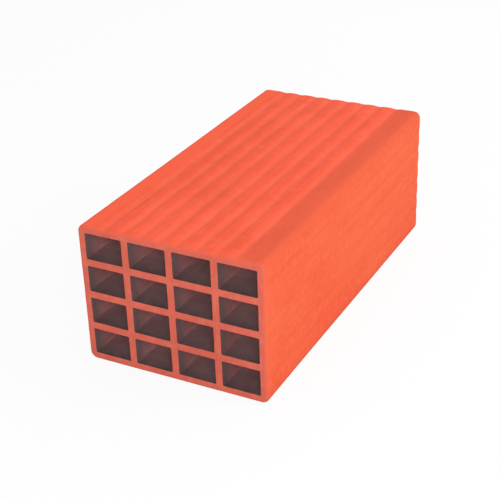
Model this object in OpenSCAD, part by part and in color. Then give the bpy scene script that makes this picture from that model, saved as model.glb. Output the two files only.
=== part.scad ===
// Hollow clay brick: one length cut from an extruded column of clay, then fired.
// X runs across the cells, Y along them and Z up, with the origin under the middle of the brick.

/* [Brick] */
// Width across the cells
brick_w = 200; // [150:1:300]
// Height as the brick lies
brick_h = 150; // [110:1:250]
// Length along the cells, between the two wire cuts
brick_l = 400; // [150:5:500]
// Radius of the four long edges
edge_r = 8; // [5:0.5:12]
// Radius of the rim round each cut end
rim_r = 3; // [1:0.5:4]

/* [Cells] */
// Cells across the width
cell_cols = 4; // [1:1:6]
// Cells up the height
cell_rows = 4; // [1:1:5]
// Thickness of the outer walls
wall_t = 8; // [6:0.5:14]
// Thickness of the webs between cells
web_t = 7; // [4:0.5:10]
// Radius of the inner corners of a cell
cell_r = 1; // [0.5:0.5:4]

/* [Grooves] */
// Spacing of the grooves, centre to centre
groove_pitch = 20; // [18:1:30]
// Width of a groove at the face, from shoulder to shoulder
groove_w = 16; // [8:0.5:18]
// Depth of the grooves in the top
top_groove_d = 1.3; // [0.5:0.1:2.5]
// Depth of the shallow grooves in the base and the two sides
shallow_groove_d = 0.5; // [0.3:0.1:2.5]
// Least width of the plain band between the outermost groove and the face's edge
plain_band = 16; // [14:1:30]

/* [Hidden] */
$fn = 64;
cell_w = (brick_w - 2 * wall_t - (cell_cols - 1) * web_t) / cell_cols;
cell_h = (brick_h - 2 * wall_t - (cell_rows - 1) * web_t) / cell_rows;
shoulder_share = 0.45;
clay_colour = [0.93, 0.40, 0.29];

// Radius of an arc that starts level and falls by a drop over a run
function arc_radius(run, drop) = (run * run + drop * drop) / (2 * drop);

// As many grooves as fit a face between its two plain bands
function groove_count(face) = floor((face - 2 * plain_band - groove_w) / groove_pitch) + 1;

// Positions of a row of equally spaced items, centred on zero
function centred_row(count, pitch) = [for (i = [0 : count - 1]) (i - (count - 1) / 2) * pitch];

// Rectangle centred on the origin, with its corners rounded
module rounded_rect(w, h, r) {
    square([w - 2 * r, h], center = true);
    square([w, h - 2 * r], center = true);
    for (x = [-1, 1], y = [-1, 1])
        translate([x * (w / 2 - r), y * (h / 2 - r)])
            circle(r);
}

// Cutter for one groove of a face that lies along X at Y = 0: its rounded shoulders fall by their share of
// the depth over the outer half of the width, and its round bottom by the rest over the inner half
module groove(depth) {
    shoulder_d = shoulder_share * depth;
    shoulder_r = arc_radius(groove_w / 4, shoulder_d);
    bottom_r = arc_radius(groove_w / 4, depth - shoulder_d);
    difference() {
        translate([-groove_w / 2, -depth / 2])
            square([groove_w, depth]);
        for (side = [-1, 1])
            translate([side * groove_w / 2, -shoulder_r])
                circle(shoulder_r);
    }
    translate([0, bottom_r - depth])
        circle(bottom_r);
}

// Cutters for all the grooves of such a face
module face_grooves(face, depth) {
    for (x = centred_row(groove_count(face), groove_pitch))
        translate([x, 0])
            groove(depth);
}

// Outline of the die: rounded long edges, and grooves in all four faces
module outline() {
    difference() {
        rounded_rect(brick_w, brick_h, edge_r);
        translate([0, brick_h / 2]) face_grooves(brick_w, top_groove_d);
        rotate(180) translate([0, brick_h / 2]) face_grooves(brick_w, shallow_groove_d);
        for (turn = [90, 270])
            rotate(turn) translate([0, brick_w / 2]) face_grooves(brick_h, shallow_groove_d);
    }
}

// Lattice of cells, the cores of the die
module cells() {
    for (x = centred_row(cell_cols, cell_w + web_t), y = centred_row(cell_rows, cell_h + web_t))
        translate([x, y])
            rounded_rect(cell_w, cell_h, cell_r);
}

// Section of what the rim loses: X points out of the side and Y out of the cut end
module rim_profile() {
    difference() {
        square(2 * rim_r, center = true);
        translate([-rim_r, -rim_r])
            circle(rim_r);
    }
}

// The same section carried round a cut end that lies at Z = 0, along four sides and four corners
module rim_waste() {
    for (turn = [0 : 3]) {
        half_out = (turn % 2 == 0 ? brick_w : brick_h) / 2;
        half_along = (turn % 2 == 0 ? brick_h : brick_w) / 2 - edge_r;
        rotate(turn * 90) {
            translate([half_out, 0, 0])
                rotate([90, 0, 0])
                    linear_extrude(2 * half_along, center = true)
                        rim_profile();
            translate([half_out - edge_r, half_along, 0])
                rotate_extrude(angle = 90)
                    translate([edge_r, 0])
                        rim_profile();
        }
    }
}

// The extruded column, cut square to length, its rims worn round, laid on one wide face
module clay_brick() {
    color(clay_colour)
        translate([0, 0, brick_h / 2])
            rotate([90, 0, 0])
                difference() {
                    linear_extrude(brick_l, center = true)
                        difference() {
                            outline();
                            cells();
                        }
                    for (turn = [0, 180])
                        rotate([turn, 0, 0]) translate([0, 0, brick_l / 2]) rim_waste();
                }
}

clay_brick();
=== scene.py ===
import math

import bmesh
import bpy
import numpy as np
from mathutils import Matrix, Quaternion, Vector


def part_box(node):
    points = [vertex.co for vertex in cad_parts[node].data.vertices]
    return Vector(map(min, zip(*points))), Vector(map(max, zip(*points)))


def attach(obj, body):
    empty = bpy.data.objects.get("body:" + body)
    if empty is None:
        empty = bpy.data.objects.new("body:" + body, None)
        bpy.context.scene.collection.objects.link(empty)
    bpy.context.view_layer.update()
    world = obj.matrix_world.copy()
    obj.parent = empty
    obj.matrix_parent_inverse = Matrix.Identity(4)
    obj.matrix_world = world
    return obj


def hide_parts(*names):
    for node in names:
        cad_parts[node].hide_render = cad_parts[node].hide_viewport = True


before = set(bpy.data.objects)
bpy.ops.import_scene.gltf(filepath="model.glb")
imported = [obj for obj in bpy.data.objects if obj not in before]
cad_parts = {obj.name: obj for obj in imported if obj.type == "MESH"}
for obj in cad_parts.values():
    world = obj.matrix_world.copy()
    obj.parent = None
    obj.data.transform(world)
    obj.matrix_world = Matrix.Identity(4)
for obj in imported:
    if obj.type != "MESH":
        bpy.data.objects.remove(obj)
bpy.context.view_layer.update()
mm = 0.001
print("frame loaded:", sorted(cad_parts))


# sRGB hex text to linear red, green, blue and alpha
def linearColour(hexText):
    parts = np.array([int(hexText[i:i + 2], 16) / 255 for i in (1, 3, 5)])
    linear = np.where(parts <= 0.04045, parts / 12.92, ((parts + 0.055) / 1.055) ** 2.4)
    return (*linear.tolist(), 1.0)


# adds a node, sets its settings, and links or fills its inputs
def addNode(tree, kind, inputs=None, **settings):
    node = tree.nodes.new(kind)
    for name, value in settings.items():
        setattr(node, name, value)
    for socket, value in (inputs or {}).items():
        if isinstance(value, bpy.types.NodeSocket):
            tree.links.new(value, node.inputs[socket])
        else:
            node.inputs[socket].default_value = value
    return node


# The brick: one surface that runs over the ribbed skin, both cut ends and every cell wall

brick = {
    # section of the die and worn rim of the ends, as in the part's source, mm
    "edgeRadius": 8.0,             # long edges
    "cellColumns": 4,
    "cellRows": 4,
    "wall": 8.0,                   # outer walls
    "web": 7.0,                    # webs between cells
    "cellRadius": 1.0,             # inner corners of a cell
    "groovePitch": 20.0,
    "grooveWidth": 16.0,           # from shoulder to shoulder
    "topGrooveDepth": 1.3,
    "shallowGrooveDepth": 0.5,     # grooves in the base and the two sides
    "plainBand": 16.0,             # least plain strip beside an edge
    "rimRadius": 3.0,              # worn outer rim of the cut ends

    # unevenness of the grooves
    "grooveNarrowing": 1.15,       # power that makes a bottom a little narrower than a crest
    "grooveMeander": 0.45,         # mm, how far a groove wanders sideways
    "meanderLengths": (17.0, 7.3),             # mm a radian, its long and its short wave
    "shortMeander": 0.6,           # height of the short wave beside the long one
    "grooveSwell": 0.10,           # share by which a groove's depth comes and goes
    "swellLength": 11.0,           # mm a radian
    "grooveSmear": 14.0,           # mm at a cut end over which the cut smears the grooves
    "smearShares": (1.0, 0.0, 0.35, 1.0),      # how far it does on the base, right, top and left

    # relief of skin and cells: height in mm, and its blur in mesh steps
    "skinRelief": (                # blur along the length and round the section
        (0.35, (12, 22)),          # slow unevenness
        (0.05, (1.0, 14)),         # ripples across the run of the clay
        (0.10, (16, 1.2))),        # scratches along the run of the clay
    "webWander": (0.30, (0, 0.8, 9)),          # cell walls, into the cell; blur by cell, along and round

    # relief of the wire cuts, mm where nothing else is said
    "mouthRadius": 0.4,            # worn rim of each cell
    "cutRipple": 0.22,             # height of the ripples
    "cutFine": 2.9,                # fine ripples, mm a radian down the end
    "cutBend": 0.7,                # radians by which they bend across the end
    "cutBendLength": 31.0,         # mm a radian
    "cutBroadShare": 0.7,          # height of the broad ripples beside the fine ones
    "cutBroad": 7.7,               # broad ripples, mm a radian down the end
    "cutSlant": 45.0,              # and across it
    "cutPhases": (1, 4),           # radians, front and back cut

    # where the tones of the clay and its painted light and shade lie, mm where nothing else is said
    "dullBand": 28.0,              # width of the painted shade, a darker strip on the top beside the right edge
    "dullReach": 13.0,             # depth below the top to which it fades out over that edge
    "dullPatches": (0.54, 0.29, (7, 5)),       # its least share, the range above it, and the patches' blur
    "freshBand": 24.0,             # width of the painted light, a brighter strip beside the left edge
    "bandFade": 8.0,               # width over which both strips fade in
    "footBand": 18.0,              # height of the painted shade along the foot of the sides
    "footShare": 0.4,              # strength of that painted shade beside the one on a face that looks down
    "upTilt": (0.25, 0.85),        # upward part of the normal at which the top's tones start and are full
    "sideTilt": (0.4, 0.9),        # sideways part, for the painted shade on the sides and the painted light on the cells' upright walls
    "downTilt": (0.0, 2 / 3),      # downward part, for the painted shade on what faces down
    "rimFade": 6,                  # power by which a rim's tone falls off across a web
    "mouthShade": 40.0,            # depth over which the painted light in the cells rises from the painted shade at the mouth
    "wallLead": 0.20,              # how far that painted light is ahead on all but the floor of a cell

    # mesh
    "sideSteps": 32,               # steps along one side of a cell
    "runSteps": 92,                # steps along the length
    "grooveCrowding": 1.5,         # how much closer the steps lie in a groove
    "edgeCrowding": 3.0,           # and on a rounded edge
    "rimRings": 7,                 # rings round a worn outer rim
    "mouthRings": (0.0, 0.3, 1.0),             # rings at a mouth, in shares of its radius
    "tileRings": (0.0, 0.1, 0.5, 0.9, 1.0),    # rings from the border of a cell's tile to its mouth
    "mergeDistance": 0.001,        # mm, points closer than this become one
    "seed": 16,
}

lowCorner, highCorner = (np.array(corner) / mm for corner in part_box("clay_brick"))
brickWidth, brickLength, brickHeight = highCorner - lowCorner
middle = (lowCorner + highCorner) / 2


# rises evenly from 0 at one value to 1 at another, and stays within them
def ramp(value, start, full):
    return np.clip((value - start) / (full - start), 0, 1)


# places of a row of equally spaced things, centred on zero
def centredRow(count, pitch):
    return (np.arange(count) - (count - 1) / 2) * pitch


# white noise blurred by a Gaussian in the Fourier plane, scaled to run from 0 to 1; sizes in grid steps
def softField(shape, sizes, seed):
    noise = np.random.default_rng(seed).standard_normal(shape)
    waves = np.meshgrid(*(np.fft.fftfreq(count) for count in shape), indexing="ij")
    falloff = np.exp(-2 * np.pi ** 2 * sum((wave * size) ** 2 for wave, size in zip(waves, sizes)))
    field = np.fft.ifftn(np.fft.fftn(noise) * falloff).real
    return (field - field.min()) / np.ptp(field)


# one side of a rounded rectangle, up to the middles of its two corner arcs, unrolled into the length u:
# straight while |u| is inside the flat, then round the arc by the angle (|u| - flat) / radius
def roundedSide(u, halfLength, halfOther, radius):
    flat = halfLength - radius
    angle = np.maximum(np.abs(u) - flat, 0) / radius
    along = np.where(angle > 0, np.sign(u) * (flat + radius * np.sin(angle)), u)
    out = halfOther - radius * (1 - np.cos(angle))
    return along, out, np.sign(u) * np.sin(angle), np.cos(angle)


# closed loop of four such sides, anticlockwise from the lower left as seen from the front, and its normals:
# each side's own axes (along, outwards) are turned onto X and Z by a quarter turn a side
def roundedLoop(sides, halfWidth, halfHeight, radius):
    points, normals = [], []
    for turn, u in enumerate(sides):
        halves = (halfWidth, halfHeight) if turn % 2 == 0 else (halfHeight, halfWidth)
        along, out, normalAlong, normalOut = roundedSide(u, *halves, radius)
        cos, sin = ((1, 0), (0, 1), (-1, 0), (0, -1))[turn]
        points.append(np.stack([along * cos + out * sin, along * sin - out * cos], -1))
        normals.append(np.stack([normalAlong * cos + normalOut * sin,
                                 normalAlong * sin - normalOut * cos], -1))
    return np.concatenate(points), np.concatenate(normals)


# half the unrolled length of a rounded side
def halfRun(halfLength, radius):
    return halfLength - radius + radius * math.pi / 4


# inward set of a worn rim at a distance from the cut: a quarter circle of the rim's radius
def rimInset(distance, radius):
    reach = np.clip(radius - distance, 0, radius)
    return radius - np.sqrt(radius ** 2 - reach ** 2)


# quads of a grid whose columns close into a ring
def ringQuads(rows, columns, start):
    row = np.arange(rows - 1)[:, None] * columns
    column = np.arange(columns)[None, :]
    here = start + row + column
    after = start + row + (column + 1) % columns
    return np.stack([here, after, after + columns, here + columns], -1).reshape(-1, 4)


columns, rows, steps = brick["cellColumns"], brick["cellRows"], brick["sideSteps"]
cellWidth = (brickWidth - 2 * brick["wall"] - (columns - 1) * brick["web"]) / columns
cellHeight = (brickHeight - 2 * brick["wall"] - (rows - 1) * brick["web"]) / rows
cellX = centredRow(columns, cellWidth + brick["web"])
cellZ = centredRow(rows, cellHeight + brick["web"])
midX = centredRow(columns - 1, cellWidth + brick["web"])     # middles of the upright webs
midZ = centredRow(rows - 1, cellHeight + brick["web"])       # middles of the level webs


# groove centres that fit a face between its plain bands
def grooveCentres(face):
    count = math.floor((face - 2 * brick["plainBand"] - brick["grooveWidth"]) / brick["groovePitch"]) + 1
    return centredRow(count, brick["groovePitch"])


# mesh points along one face, the same number for each cell beside it, crowded where the face bends:
# equal steps of the running sum of a density that is higher in a groove or a rounded edge
def facePoints(face, webMiddles):
    fineCount = 8001
    half = halfRun(face / 2, brick["edgeRadius"])
    breaks = np.concatenate([[-half], webMiddles, [half]])
    fine = np.linspace(-half, half, fineCount)
    nearest = np.abs(fine[:, None] - grooveCentres(face)[None, :]).min(1)
    inGroove = nearest < brick["grooveWidth"] / 2
    inArc = np.abs(fine) > face / 2 - brick["edgeRadius"]
    density = 1 + brick["grooveCrowding"] * inGroove + brick["edgeCrowding"] * inArc
    total = np.concatenate([[0], np.cumsum((density[1:] + density[:-1]) / 2)])
    marks = np.interp(breaks, fine, total)
    spaced = [np.linspace(a, b, steps, endpoint=False) for a, b in zip(marks[:-1], marks[1:])]
    return np.interp(np.concatenate(spaced), total, fine)


# groove depth at a place u along the face: half a cosine from each shoulder down to the nearest centre,
# which wanders sideways along the run, to a power that makes the bottom a little narrower than the crest
def grooveDepth(u, run, face, depth):
    grooveTurn, faceTurn = 2.4, 0.7        # phases, so that no two grooves run alike
    shortTurn, swellTurn = 2.1, 1.7        # nor two waves of one groove
    longWave, shortWave = brick["meanderLengths"]
    centres = grooveCentres(face)
    nearest = np.abs(u[:, None] - centres[None, :]).argmin(1)
    phase = nearest * grooveTurn + face * faceTurn
    longBend = np.sin(run / longWave + phase)
    shortBend = brick["shortMeander"] * np.sin(run / shortWave + shortTurn * phase)
    wander = brick["grooveMeander"] * (longBend + shortBend) / (1 + brick["shortMeander"])
    local = np.clip(2 * (u - centres[nearest] - wander) / brick["grooveWidth"], -1, 1)
    swell = 1 + brick["grooveSwell"] * np.sin(run / brick["swellLength"] + swellTurn * phase)
    dip = (0.5 + 0.5 * np.cos(math.pi * local)) ** brick["grooveNarrowing"]
    return depth * swell / (1 + brick["grooveSwell"]) * dip


# unevenness of a wire cut: fine ripples that bend and broad ones that slant, lying across the brick where
# the wire dragged, always inwards
def cutRelief(x, z, phase):
    bend = brick["cutBend"] * np.sin(x / brick["cutBendLength"] + phase)
    fine = np.sin(z / brick["cutFine"] + bend + phase)
    broad = brick["cutBroadShare"] * np.sin(z / brick["cutBroad"] + x / brick["cutSlant"] + 2 * phase)
    return brick["cutRipple"] * (0.5 + (fine + broad) / (2 * (1 + brick["cutBroadShare"])))


faceSizes = (brickWidth, brickHeight)
faceRuns = [facePoints(brickWidth, midX), facePoints(brickHeight, midZ)]
skinLoop, skinNormal = roundedLoop(faceRuns * 2, brickWidth / 2, brickHeight / 2, brick["edgeRadius"])

# places along the length, with a few close rings round each worn rim, at equal angles of its quarter circle
rimSteps = (1 - np.cos(np.linspace(0, math.pi / 2, brick["rimRings"]))) * brick["rimRadius"]
inner = np.linspace(brick["rimRadius"], brickLength - brick["rimRadius"], brick["runSteps"] + 1)[1:-1]
run = np.concatenate([rimSteps, inner, brickLength - rimSteps[::-1]])[:, None]
fromEnd = np.minimum(run, brickLength - run)

# the skin: the die's outline carried along the length, set in by grooves, drag marks and the worn rims
shallow = brick["shallowGrooveDepth"]
depths = (shallow, shallow, brick["topGrooveDepth"], shallow)      # base, right, top and left
smear = ramp(fromEnd, brick["grooveSmear"], 0)
sideLead = 100     # mm by which each face is further along its waves than the one before it
grooves = np.concatenate([
    grooveDepth(faceRuns[side % 2], run + sideLead * side, faceSizes[side % 2], depth * (1 - share * smear))
    for side, (depth, share) in enumerate(zip(depths, brick["smearShares"]))], 1)
skinShape = (len(run), len(skinLoop))
relief = sum(height * softField(skinShape, blur, brick["seed"] + i)
             for i, (height, blur) in enumerate(brick["skinRelief"]))
inset = grooves + relief + rimInset(fromEnd, brick["rimRadius"])
skinXZ = skinLoop[None] - skinNormal[None] * inset[..., None]


# Y of a line from the front cut to the back one, at a share of the way
def betweenCuts(share, frontXZ, backXZ):
    frontPhase, backPhase = brick["cutPhases"]
    front = -brickLength / 2 + cutRelief(frontXZ[..., 0], frontXZ[..., 1], frontPhase)
    back = brickLength / 2 - cutRelief(backXZ[..., 0], backXZ[..., 1], backPhase)
    return front + (back - front) * share


skinY = betweenCuts(run / brickLength, skinXZ[0], skinXZ[-1])

# the cells: a rounded rectangle for each, carried through the brick, its walls wandering a little
cellHalf = [halfRun(side / 2, brick["cellRadius"]) for side in (cellWidth, cellHeight)]
cellSides = [np.linspace(-half, half, steps, endpoint=False) for half in cellHalf]
cellLoop, cellNormal = roundedLoop(cellSides * 2, cellWidth / 2, cellHeight / 2, brick["cellRadius"])
cellCentre = np.stack(np.meshgrid(cellX, cellZ, indexing="ij"), -1).reshape(-1, 2)      # column by column
mouthSteps = np.array(brick["mouthRings"]) * brick["mouthRadius"]
shadeEnd = brick["mouthShade"]
cellRun = np.concatenate([mouthSteps, [shadeEnd, brickLength - shadeEnd], brickLength - mouthSteps[::-1]])
cellFromEnd = np.minimum(cellRun, brickLength - cellRun)
wanderHeight, wanderBlur = brick["webWander"]
cellSeed = brick["seed"] + len(brick["skinRelief"])
wander = softField((len(cellCentre), len(cellRun), len(cellLoop)), wanderBlur, cellSeed)
cellOut = rimInset(cellFromEnd, brick["mouthRadius"])[None, :, None] - wanderHeight * wander
cellXZ = cellCentre[:, None, None] + cellLoop + cellNormal * cellOut[..., None]
cellY = betweenCuts((cellRun / brickLength)[None, :, None], cellXZ[:, :1], cellXZ[:, -1:])


# the border of each cell's tile of a cut end: web middles inside, the brick's own rim outside
def tileBorders(rim):
    closed = np.concatenate([rim, rim[:1]])
    spans = [closed[i * steps:(i + 1) * steps + 1] for i in range(2 * (columns + rows))]
    base, right = spans[:columns], spans[columns:columns + rows]
    top = [span[::-1] for span in spans[columns + rows:2 * columns + rows][::-1]]
    left = [span[::-1] for span in spans[2 * columns + rows:][::-1]]
    corner = np.zeros((columns + 1, rows + 1, 2))
    corner[1:-1, 1:-1] = np.stack(np.meshgrid(midX, midZ, indexing="ij"), -1)
    for i in range(columns):
        corner[i, 0], corner[i, -1] = base[i][0], top[i][0]
    for j in range(rows):
        corner[0, j], corner[-1, j] = left[j][0], right[j][0]
    corner[-1, -1] = right[-1][-1]
    corner[0, -1] = left[-1][-1]
    share = np.linspace(0, 1, steps + 1)[:, None]

    # the line below tile i, j from left to right: the rim's own points at the base and the top, else straight
    def level(i, j):
        if j == 0:
            return base[i]
        if j == rows:
            return top[i]
        return corner[i, j] + (corner[i + 1, j] - corner[i, j]) * share

    # the line to the left of tile i, j from below, likewise
    def upright(i, j):
        if i == 0:
            return left[j]
        if i == columns:
            return right[j]
        return corner[i, j] + (corner[i, j + 1] - corner[i, j]) * share

    return np.stack([np.concatenate([level(i, j)[:-1], upright(i + 1, j)[:-1],
                                     level(i, j + 1)[:0:-1], upright(i, j)[:0:-1]])
                     for i in range(columns) for j in range(rows)])


# a cut end: for each cell a ring that goes from its tile's border to its mouth
tileShare = np.array(brick["tileRings"])[None, :, None, None]
endXZ, endY = [], []
for end in (0, -1):
    border = tileBorders(skinXZ[end])[:, None]
    ring = border + (cellXZ[:, end][:, None] - border) * tileShare
    endXZ.append(ring)
    endY.append(betweenCuts(-end, ring, ring))

# all the grids as one list of points and quads, with each strip's finish and the tones, painted light and
# shade among them, for it to read
skinFinish, cutFinish, cellFinish = 0, 1, 2
points, quads, finish = [], [], []
tones = {name: [] for name in (
    "rimTone", "dullTone", "freshTone", "dustTone", "sideTone", "underTone", "depthTone")}


# appends a grid, or several of one size: X and Z, Y, the finish of each strip, and the tones that aren't 0
def addGrid(xz, y, stripFinish, **values):
    grids = np.concatenate([xz[..., :1], y[..., None], xz[..., 1:]], -1).reshape(-1, *xz.shape[-3:-1], 3)
    for grid in grids:
        ringCount, aroundCount = grid.shape[:2]
        quads.append(ringQuads(ringCount, aroundCount, sum(len(block) for block in points)))
        points.append(grid.reshape(-1, 3))
        finish.append(np.repeat(np.broadcast_to(stripFinish, ringCount - 1), aroundCount))
    for name, parts in tones.items():
        parts.append(np.broadcast_to(values.get(name, 0.0), xz.shape[:-1]).ravel())


# painted shade: a darker strip on the top beside the right edge, patchy, fullest on the round of that edge,
# fading out below it
acrossX, upZ = skinLoop[:, 0], skinLoop[:, 1]
normalX, normalZ = skinNormal[:, 0], skinNormal[:, 1]
dullStart = brickWidth / 2 - brick["dullBand"]
leastDull, dullRange, dullBlur = brick["dullPatches"]
patches = leastDull + dullRange * softField(skinShape, dullBlur, cellSeed + 1)
edgeTurn = 2 * np.clip(normalX, 0, 1) * np.clip(normalZ, 0, 1)      # sine of twice the turn round the edge
dullStrip = ramp(upZ, brickHeight / 2 - brick["dullReach"], brickHeight / 2)
dullStrip = dullStrip * ramp(acrossX, dullStart, dullStart + brick["bandFade"])
dullTone = dullStrip * (patches + (1 - patches) * edgeTurn)

# pale dust in the grooves of the top, the more the deeper, laid on as painted light on the waves; the strip
# of painted light lies beside the left edge
facingUp = ramp(normalZ, *brick["upTilt"])
dustTone = facingUp * grooves / brick["topGrooveDepth"]
# painted light: a brighter strip on the top beside the left edge
freshStart = brick["freshBand"] - brickWidth / 2
freshTone = facingUp * ramp(acrossX, freshStart, freshStart - brick["bandFade"])

# painted shade on the sides and on the underside goes by the normal; the foot of the sides has a part of the
# latter
sideTone = ramp(np.abs(normalX), *brick["sideTilt"])
foot = ramp(upZ, brick["footBand"] - brickHeight / 2, -brickHeight / 2)
underTone = np.maximum(ramp(-normalZ, *brick["downTilt"]), brick["footShare"] * foot)

skinRim = ramp(fromEnd, brick["rimRadius"], 0)
addGrid(skinXZ, skinY, skinFinish, rimTone=skinRim, dullTone=dullTone, freshTone=freshTone,
        dustTone=dustTone, sideTone=sideTone, underTone=underTone)
tileRim = np.abs(2 * tileShare[..., 0] - 1) ** brick["rimFade"]
for ring, y in zip(endXZ, endY):
    addGrid(ring, y, cutFinish, rimTone=tileRim)

# painted light in a cell: rises with depth from the mouth to its full value, and is ahead on all but the
# floor of the cell;
# the painted light of the upright walls rises with it
cellDepth = ramp(cellFromEnd[:, None], 0, shadeEnd)
depthTone = np.clip(cellDepth + brick["wallLead"] * ramp(cellNormal[:, 1], -1, 0), 0, 1)
cellSideTone = cellDepth * ramp(np.abs(cellNormal[:, 0]), *brick["sideTilt"])
onMouth = (cellFromEnd[1:] + cellFromEnd[:-1]) / 2 < brick["mouthRadius"]
addGrid(cellXZ, cellY, np.where(onMouth, cutFinish, cellFinish), depthTone=depthTone, sideTone=cellSideTone)

vertices = (np.concatenate(points) + middle) * mm
mesh = bpy.data.meshes.new("clayBrick")
mesh.from_pydata(vertices.tolist(), [], np.concatenate(quads).tolist())
mesh.polygons.foreach_set("material_index", np.concatenate(finish).astype(np.int32))
for name, parts in tones.items():
    layer = mesh.attributes.new(name, "FLOAT", "POINT")
    layer.data.foreach_set("value", np.concatenate(parts).astype(np.float32))

# the grids meet point for point, so merging the doubles closes the surface
shell = bmesh.new()
shell.from_mesh(mesh)
bmesh.ops.remove_doubles(shell, verts=shell.verts, dist=brick["mergeDistance"] * mm)
bmesh.ops.recalc_face_normals(shell, faces=shell.faces)
openEdges = sum(len(edge.link_faces) != 2 for edge in shell.edges)
litres = shell.calc_volume(signed=True) * 1000
print("brick surface:", len(shell.verts), "points,", 2 * len(shell.faces), "triangles,",
      openEdges, "open edges,", round(litres, 3), "litres")
shell.to_mesh(mesh)
shell.free()
mesh.polygons.foreach_set("use_smooth", np.ones(len(mesh.polygons), bool))
mesh.update()
clayBrick = bpy.data.objects.new("clayBrick", mesh)
bpy.context.scene.collection.objects.link(clayBrick)
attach(clayBrick, "root")
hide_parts("clay_brick")


# Fired clay in three finishes, all of one body: matt, dry, mottled by the fire, with sand in it

clay = {
    "mottle": 70.0,                # mm, patches left by the fire
    "fleck": 9.0,                  # mm, smaller patches
    "grain": 1.8,                  # mm, sand, drawn coarser than it is so that it shows
    "noiseDetail": 3.0,
    "noiseRoughness": 0.55,
    "smoothest": 0.78,             # roughness where the grain is lowest
    "roughest": 0.95,              # and where it is highest
    "grainLevels": (0.3, 0.7),     # lowest and highest grain
    "bump": 0.5,                   # strength of grain and scratches as bump
    "gloss": 0.15,                 # specular level, low on dry clay
}

# extruded: scratched lengthwise by the die, a clean orange red with pale dust in the grooves of the top,
# which also paints light on the waves;
# painted shade makes the two sides a little darker and browner, and lies beside the right edge and on what
# faces down; painted light lies beside the left edge
extrudedSkin = {
    "tone": "#fa6144",
    "layers": (                    # field, the levels between which it rises, its greatest share, its colour
        # painted shade on the two sides, with a browner hue
        ("sideTone", 0.0, 1.0, 1.00, "#eb6640"),
        ("mottle", 0.38, 0.66, 0.45, "#e4502f"),
        ("fleck", 0.45, 0.75, 0.35, "#ff7857"),
        ("scratch", 0.45, 0.70, 0.40, "#e4502f"),
        # painted shade: the darker strip beside the right edge
        ("dullTone", 0.0, 1.0, 0.90, "#d85a3c"),
        # painted light: the brighter strip beside the left edge
        ("freshTone", 0.0, 1.0, 0.80, "#ff6444"),
        # pale dust in the grooves, which also paints light on the waves
        ("dustTone", 0.0, 1.0, 0.12, "#ff9478"),
        # painted shade on what faces down and along the foot of the sides
        ("underTone", 0.0, 1.0, 0.85, "#b84a30"),
        ("grain", 0.52, 0.72, 0.35, "#ff7857"),
        ("rimTone", 0.0, 1.0, 0.90, "#ea6953")),
    "scratch": (2.4, 90.0, 2.4),   # mm, a drag line's size along X, Y and Z
    "relief": 0.30,                # mm, height of grain and drag lines
}

# wire-cut: torn by the wire, so pinker and grainier, with drag lines running down the end
wireCut = {
    "tone": "#e06a58",
    "layers": (
        ("mottle", 0.38, 0.66, 0.55, "#cd5b4a"),
        ("fleck", 0.45, 0.75, 0.45, "#f18773"),
        ("scratch", 0.45, 0.70, 0.45, "#cd5b4a"),
        ("grain", 0.52, 0.72, 0.35, "#f18773"),
        ("rimTone", 0.0, 1.0, 0.35, "#ef735b")),
    "scratch": (1.6, 1.6, 30.0),
    "relief": 0.45,
}

# inside the cells: painted shade, dark grey at the mouths, and painted light, paler further in and redder on
# the upright walls, which keeps the part that shows evenly dark; scratched lengthwise by the cores
cellWall = {
    "tone": "#3f393a",
    "layers": (
        # painted light that rises with depth
        ("depthTone", 0.0, 0.65, 1.00, "#9d7979"),
        ("depthTone", 0.65, 1.0, 1.00, "#e8b4b4"),
        # painted light on the upright walls
        ("sideTone", 0.20, 0.65, 0.60, "#ee9794"),
        ("mottle", 0.38, 0.66, 0.30, "#705050"),
        ("fleck", 0.45, 0.75, 0.25, "#9a7170"),
        ("scratch", 0.45, 0.70, 0.25, "#705050"),
        ("grain", 0.52, 0.72, 0.20, "#9a7170")),
    "scratch": (2.4, 60.0, 2.4),
    "relief": 0.30,
}


# scale of a noise whose patches have a size in mm
def perMetre(sizeMm):
    return 1 / (sizeMm * mm)


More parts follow.
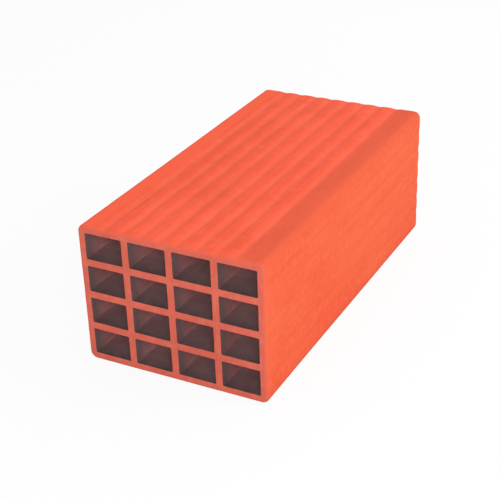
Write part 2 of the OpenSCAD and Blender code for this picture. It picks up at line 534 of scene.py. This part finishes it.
# one finish: its tone, covered by its layers in turn, with grain as roughness and grain and scratches as bump
def firedClay(name, look):
    material = bpy.data.materials.new(name)
    material.use_nodes = True
    tree = material.node_tree
    tree.nodes.clear()
    place = addNode(tree, "ShaderNodeTexCoord").outputs["Object"]
    stretched = addNode(tree, "ShaderNodeMapping", {
        "Vector": place, "Scale": [perMetre(size) for size in look["scratch"]]}).outputs["Vector"]
    fields = {}
    for field, vector, scale in (("mottle", place, perMetre(clay["mottle"])),
                                 ("fleck", place, perMetre(clay["fleck"])),
                                 ("grain", place, perMetre(clay["grain"])),
                                 ("scratch", stretched, 1.0)):
        fields[field] = addNode(tree, "ShaderNodeTexNoise", {
            "Vector": vector, "Scale": scale,
            "Detail": clay["noiseDetail"], "Roughness": clay["noiseRoughness"]}).outputs["Fac"]
    for field in tones:
        fields[field] = addNode(tree, "ShaderNodeAttribute", attribute_name=field).outputs["Fac"]

    # each layer covers the ones before it by its share, which rises with its field between two levels
    tone = linearColour(look["tone"])
    for field, low, high, share, colour in look["layers"]:
        cover = addNode(tree, "ShaderNodeMapRange", {
            "Value": fields[field], "From Min": low, "From Max": high, "To Min": 0.0, "To Max": share})
        tone = addNode(tree, "ShaderNodeMix", {
            0: cover.outputs["Result"], 6: tone, 7: linearColour(colour)}, data_type="RGBA").outputs[2]
    lowGrain, highGrain = clay["grainLevels"]
    roughness = addNode(tree, "ShaderNodeMapRange", {
        "Value": fields["grain"], "From Min": lowGrain, "From Max": highGrain,
        "To Min": clay["smoothest"], "To Max": clay["roughest"]}).outputs["Result"]
    height = addNode(tree, "ShaderNodeMath", {0: fields["grain"], 1: fields["scratch"]}, operation="ADD")
    bump = addNode(tree, "ShaderNodeBump", {
        "Height": height.outputs["Value"], "Strength": clay["bump"], "Distance": look["relief"] * mm})
    shader = addNode(tree, "ShaderNodeBsdfPrincipled", {
        "Base Color": tone, "Roughness": roughness, "Normal": bump.outputs["Normal"],
        "Specular IOR Level": clay["gloss"]})
    addNode(tree, "ShaderNodeOutputMaterial", {"Surface": shader.outputs["BSDF"]})
    return material


# in the order of skinFinish, cutFinish and cellFinish
for name, look in (("firedClayExtruded", extrudedSkin),
                   ("firedClayWireCut", wireCut),
                   ("firedClayInCells", cellWall)):
    clayBrick.data.materials.append(firedClay(name, look))
print("materials:", [slot.name for slot in clayBrick.data.materials])


# Pale floor, white surroundings, soft lamps and the camera

setting = {
    "floorColour": "#fafafa",              # to the eye
    "floorBounce": "#dcdcdc",              # as a surface that throws light back
    "floorSize": 12.0,                     # m
    "floorGlow": 0.9,                      # share of plain white that the eye sees in the floor
    "skyLight": 0.58,                      # share of a white sky that lights the brick
    "aim": (-10.7, -18.7, 53.3),           # mm, where the camera looks
    "azimuth": 27.99,                      # degrees from straight in front, towards the right
    "elevation": 27.87,                    # degrees
    "roll": -1.91,                         # degrees
    "distance": 1276.4,                    # mm
    "lens": 85.64,                         # mm
    "sensor": 36.0,                        # mm
}
lamps = {
    "rightSoftbox": {"place": (1150, 300, 850), "size": 600, "power": 7.5},      # mm, mm, watts
    "frontSoftbox": {"place": (680, -1250, 830), "size": 800, "power": 9.5},
    "backSoftbox": {"place": (-100, 1200, 900), "size": 700, "power": 2.4},
}
plainWhite = (1, 1, 1, 1)

floorHalf = setting["floorSize"] / 2
floorCorners = [(x * floorHalf, y * floorHalf, 0) for x, y in ((-1, -1), (1, -1), (1, 1), (-1, 1))]
floorMesh = bpy.data.meshes.new("floor")
floorMesh.from_pydata(floorCorners, [], [(0, 1, 2, 3)])
floor = bpy.data.objects.new("floor", floorMesh)
bpy.context.scene.collection.objects.link(floor)


# 1 for a ray from the eye, from gloss or through glass, 0 for the rays that carry light about
def seenDirectly(tree):
    path = addNode(tree, "ShaderNodeLightPath").outputs
    eye = addNode(tree, "ShaderNodeMath", {
        0: path["Is Camera Ray"], 1: path["Is Glossy Ray"]}, operation="MAXIMUM")
    return addNode(tree, "ShaderNodeMath", {
        0: eye.outputs["Value"], 1: path["Is Transmission Ray"]}, operation="MAXIMUM").outputs["Value"]


# a pale matt floor, part of it plain white to the eye, so that it keeps only a soft shadow
paper = bpy.data.materials.new("paleFloor")
paper.use_nodes = True
tree = paper.node_tree
tree.nodes.clear()
seen = seenDirectly(tree)
paleTone = addNode(tree, "ShaderNodeMix", {
    0: seen, 6: linearColour(setting["floorBounce"]), 7: linearColour(setting["floorColour"])},
    data_type="RGBA")
matt = addNode(tree, "ShaderNodeBsdfDiffuse", {"Color": paleTone.outputs[2]})
glow = addNode(tree, "ShaderNodeEmission", {"Color": plainWhite, "Strength": 1.0})
share = addNode(tree, "ShaderNodeMath", {0: seen, 1: setting["floorGlow"]}, operation="MULTIPLY")
sheet = addNode(tree, "ShaderNodeMixShader", {
    0: share.outputs["Value"], 1: matt.outputs["BSDF"], 2: glow.outputs["Emission"]})
addNode(tree, "ShaderNodeOutputMaterial", {"Surface": sheet.outputs["Shader"]})
floorMesh.materials.append(paper)

# a sky that is white to the eye and in gloss, and dimmer as light
sky = bpy.data.worlds.new("softSky")
sky.use_nodes = True
tree = sky.node_tree
tree.nodes.clear()
strength = addNode(tree, "ShaderNodeMapRange", {
    "Value": seenDirectly(tree), "To Min": setting["skyLight"], "To Max": 1.0})
white = addNode(tree, "ShaderNodeBackground", {"Color": plainWhite, "Strength": strength.outputs["Result"]})
addNode(tree, "ShaderNodeOutputWorld", {"Surface": white.outputs["Background"]})
bpy.context.scene.world = sky

brickMiddle = Vector(middle) * mm
for name, lamp in lamps.items():
    light = bpy.data.lights.new(name, "AREA")
    light.size = lamp["size"] * mm
    light.energy = lamp["power"]
    lampObject = bpy.data.objects.new(name, light)
    lampObject.location = Vector(lamp["place"]) * mm
    lampObject.rotation_mode = "QUATERNION"
    lampObject.rotation_quaternion = (brickMiddle - lampObject.location).to_track_quat("-Z", "Y")
    bpy.context.scene.collection.objects.link(lampObject)

azimuth, elevation = math.radians(setting["azimuth"]), math.radians(setting["elevation"])
levelPart = math.cos(elevation)
back = Vector((math.sin(azimuth) * levelPart, -math.cos(azimuth) * levelPart, math.sin(elevation)))
cameraData = bpy.data.cameras.new("camera")
cameraData.lens = setting["lens"]
cameraData.sensor_width = setting["sensor"]
camera = bpy.data.objects.new("camera", cameraData)
camera.location = (Vector(setting["aim"]) + back * setting["distance"]) * mm
camera.rotation_mode = "QUATERNION"
roll = Quaternion((0, 0, 1), math.radians(setting["roll"]))
camera.rotation_quaternion = (-back).to_track_quat("-Z", "Y") @ roll
bpy.context.scene.collection.objects.link(camera)
bpy.context.scene.camera = camera
bpy.context.scene.view_settings.view_transform = "Standard"
print("stage and camera set")
